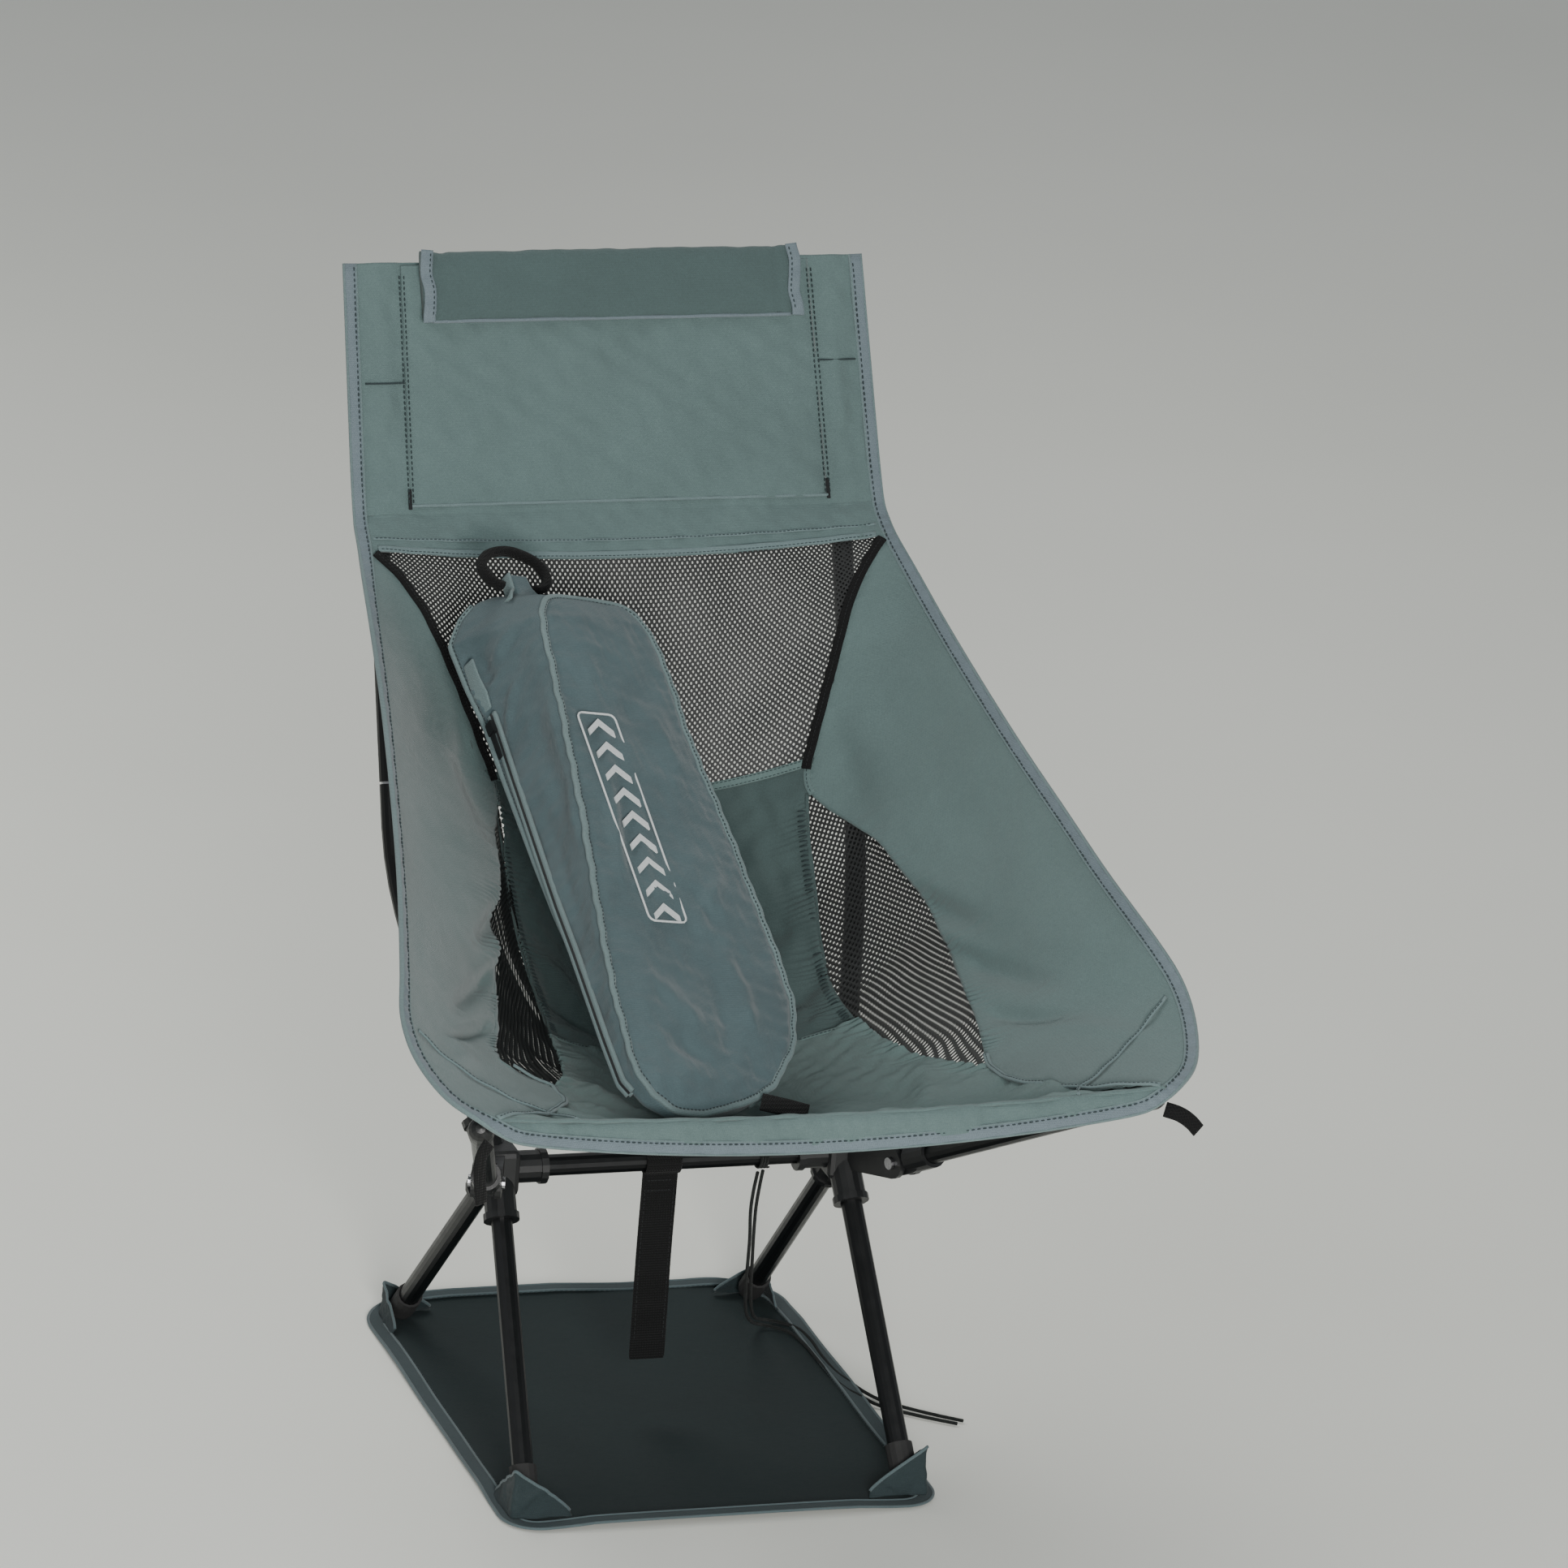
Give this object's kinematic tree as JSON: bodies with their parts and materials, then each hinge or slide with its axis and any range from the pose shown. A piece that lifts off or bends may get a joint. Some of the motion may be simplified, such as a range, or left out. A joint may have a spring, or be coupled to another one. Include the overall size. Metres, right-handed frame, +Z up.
{
  "type": "folding high-back camp chair",
  "caption": "High-back folding camp chair: tube frame with moulded hubs, fabric and mesh sling, headrest flap, ground sheet under the feet and an empty zip carry bag in the seat.",
  "frame": {"origin": "on the ground under the ground sheet, midway between the two hubs", "axes": "+Z up, the sitter looks along -Y, +X to the sitter's left, X = 0 is the chair's middle plane"},
  "size_m": [0.658, 0.7856, 0.9186],
  "materials": {
    "black_tube": "satin black powder coat",
    "black_plastic": "fine grained moulded nylon",
    "foot_rubber": "matt black",
    "pin_steel": "plain bright steel",
    "shock_cord": "braided elastic cord",
    "sling_fabric": "plain woven polyester, grey green",
    "seat_fabric": "plain woven polyester, darker in the seat",
    "edge_binding": "folded tape, lighter blue grey",
    "black_mesh": "knitted hexagonal mesh",
    "sheet_fabric": "coated woven polyester, dark slate",
    "black_webbing": "woven polypropylene tape",
    "bag_fabric": "woven polyester, blue grey",
    "black_cord": "flat woven cord"
  },
  "bodies": {
    "ground sheet": {"ground_sheet": "sheet_fabric", "foot_pocket_front_right": "sheet_fabric", "foot_pocket_front_left": "sheet_fabric", "foot_pocket_rear_right": "sheet_fabric", "foot_pocket_rear_left": "sheet_fabric"},
    "frame": {"crossbar": "black_tube", "hub_right": "black_plastic", "front_leg_right": "black_tube", "rear_leg_right": "black_tube", "foot_cap_front_right": "foot_rubber", "foot_cap_rear_right": "foot_rubber", "shock_cord_right": "shock_cord", "rear_pole_lower_right": "black_tube", "rear_pole_upper_right": "black_tube", "rear_pole_tip_right": "black_plastic", "pole_ferrule_right": "pin_steel", "knuckle_pin_right": "pin_steel", "hub_left": "black_plastic", "front_leg_left": "black_tube", "rear_leg_left": "black_tube", "foot_cap_front_left": "foot_rubber", "foot_cap_rear_left": "foot_rubber", "shock_cord_left": "shock_cord", "rear_pole_lower_left": "black_tube", "rear_pole_upper_left": "black_tube", "rear_pole_tip_left": "black_plastic", "pole_ferrule_left": "pin_steel", "knuckle_pin_left": "pin_steel", "cord_knot": "black_cord", "cord_near": "black_cord", "cord_far": "black_cord"},
    "front pole right": {"front_knuckle_right": "black_plastic", "front_pole_right": "black_tube", "front_pole_tip_right": "black_plastic"},
    "front pole left": {"front_knuckle_left": "black_plastic", "front_pole_left": "black_tube", "front_pole_tip_left": "black_plastic"},
    "sling": {"front_hem": "sling_fabric", "seat_base": "seat_fabric", "seat_back": "seat_fabric", "back_mesh": "black_mesh", "upper_back": "sling_fabric", "pocket_panel": "sling_fabric", "rim_binding": "edge_binding", "wing_right": "sling_fabric", "wing_left": "sling_fabric", "side_mesh_right": "black_mesh", "side_mesh_left": "black_mesh", "corner_pocket_right": "seat_fabric", "corner_pocket_left": "seat_fabric", "pole_sleeve_right": "sling_fabric", "pole_sleeve_left": "sling_fabric"},
    "headrest": {"headrest_flap": "sling_fabric"},
    "bag": {"bag_body": "bag_fabric", "bag_zip": "bag_fabric"},
    "zip slider": {"bag_zip_slider": "black_plastic"},
    "bag handle": {"bag_handle": "black_webbing"},
    "hanging strap": {"hanging_strap": "black_webbing"},
    "pull tab right": {"pull_tab_right": "black_webbing"},
    "pull tab left": {"pull_tab_left": "black_webbing"}
  },
  "joints": [
    {"name": "frame_lift", "type": "slide", "parent": "ground sheet", "child": "frame", "axis": [0, 0, 1], "range_m": [0, 0.12]},
    {"name": "front_pole_fold_right", "type": "hinge", "parent": "frame", "child": "front pole right", "pos_m": [0.18, -0.069, 0.249], "axis": [0.9474, 0.3201, 0], "range_deg": [0, 60]},
    {"name": "front_pole_fold_left", "type": "hinge", "parent": "frame", "child": "front pole left", "pos_m": [-0.18, -0.069, 0.249], "axis": [0.9474, -0.3201, 0], "range_deg": [0, 60]},
    {"name": "sling_slide", "type": "slide", "parent": "frame", "child": "sling", "axis": [0, 0.3728, 0.9279], "range_m": [0, 0.25]},
    {"name": "headrest_flip", "type": "hinge", "parent": "sling", "child": "headrest", "pos_m": [0, 0.349, 0.908], "axis": [-1, 0, 0], "range_deg": [0, 180]},
    {"name": "bag_lift", "type": "slide", "parent": "sling", "child": "bag", "axis": [0, 0, 1], "range_m": [0, 0.3]},
    {"name": "zip_slide", "type": "slide", "parent": "bag", "child": "zip slider", "axis": [0.0305, -0.8944, -0.4463], "range_m": [0, 0.26]},
    {"name": "handle_turn", "type": "hinge", "parent": "bag", "child": "bag handle", "pos_m": [-0.12482, 0.12624, 0.69374], "axis": [0.9368, 0.262, -0.2318], "range_deg": [-60, 60]},
    {"name": "strap_swing", "type": "hinge", "parent": "frame", "child": "hanging strap", "pos_m": [-0.008, 0, 0.232], "axis": [1, 0, 0], "range_deg": [-60, 60]},
    {"name": "tab_flap_right", "type": "hinge", "parent": "sling", "child": "pull tab right", "pos_m": [0.286, -0.404, 0.422], "axis": [0, 1, 0], "range_deg": [-20, 45]},
    {"name": "tab_flap_left", "type": "hinge", "parent": "sling", "child": "pull tab left", "pos_m": [-0.286, -0.404, 0.4225], "axis": [0, 1, 0], "range_deg": [-10, 60]}
  ]
}
